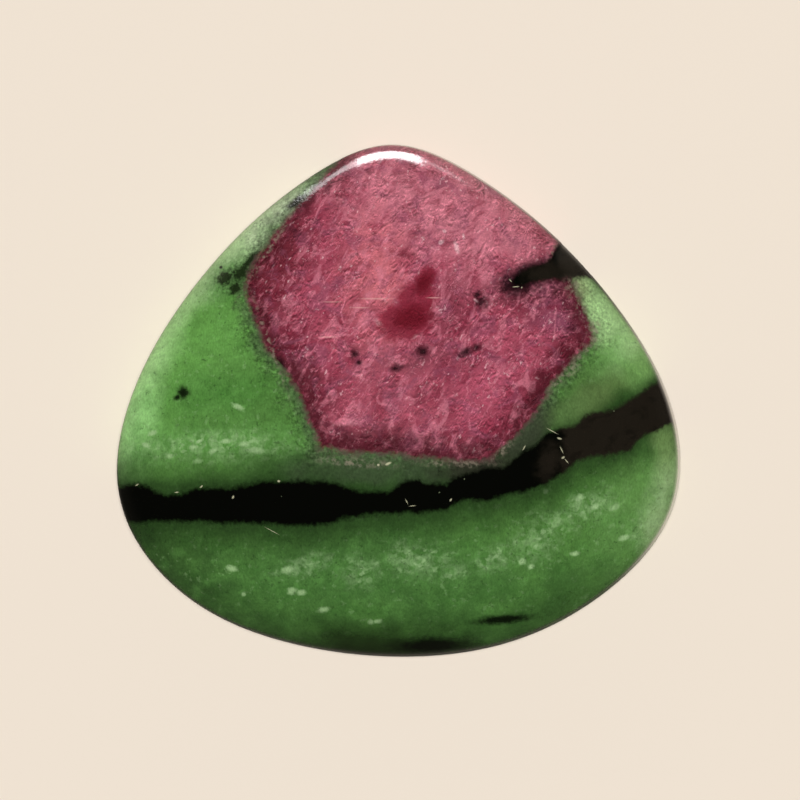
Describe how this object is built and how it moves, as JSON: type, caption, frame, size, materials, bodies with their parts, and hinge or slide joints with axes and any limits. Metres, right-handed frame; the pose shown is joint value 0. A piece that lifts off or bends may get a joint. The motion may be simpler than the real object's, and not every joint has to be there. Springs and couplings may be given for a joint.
{
  "type": "ruby in zoisite cabochon",
  "caption": "Polished rounded-triangle cabochon of ruby in zoisite, with a low dome, a short wall and a flat back, for setting or display.",
  "frame": {"origin": "middle of the flat back, under the middle of the stone's bounding box", "axes": "+Z out of the dome, away from the flat back; +Y towards the narrow end; +X across the width"},
  "size_m": [0.034, 0.0308, 0.0062],
  "materials": {
    "ruby_in_zoisite": "bright polish on dome and wall, fine satin lap on the back"
  },
  "bodies": {
    "root": {"cabochon": "ruby_in_zoisite"}
  },
  "joints": []
}
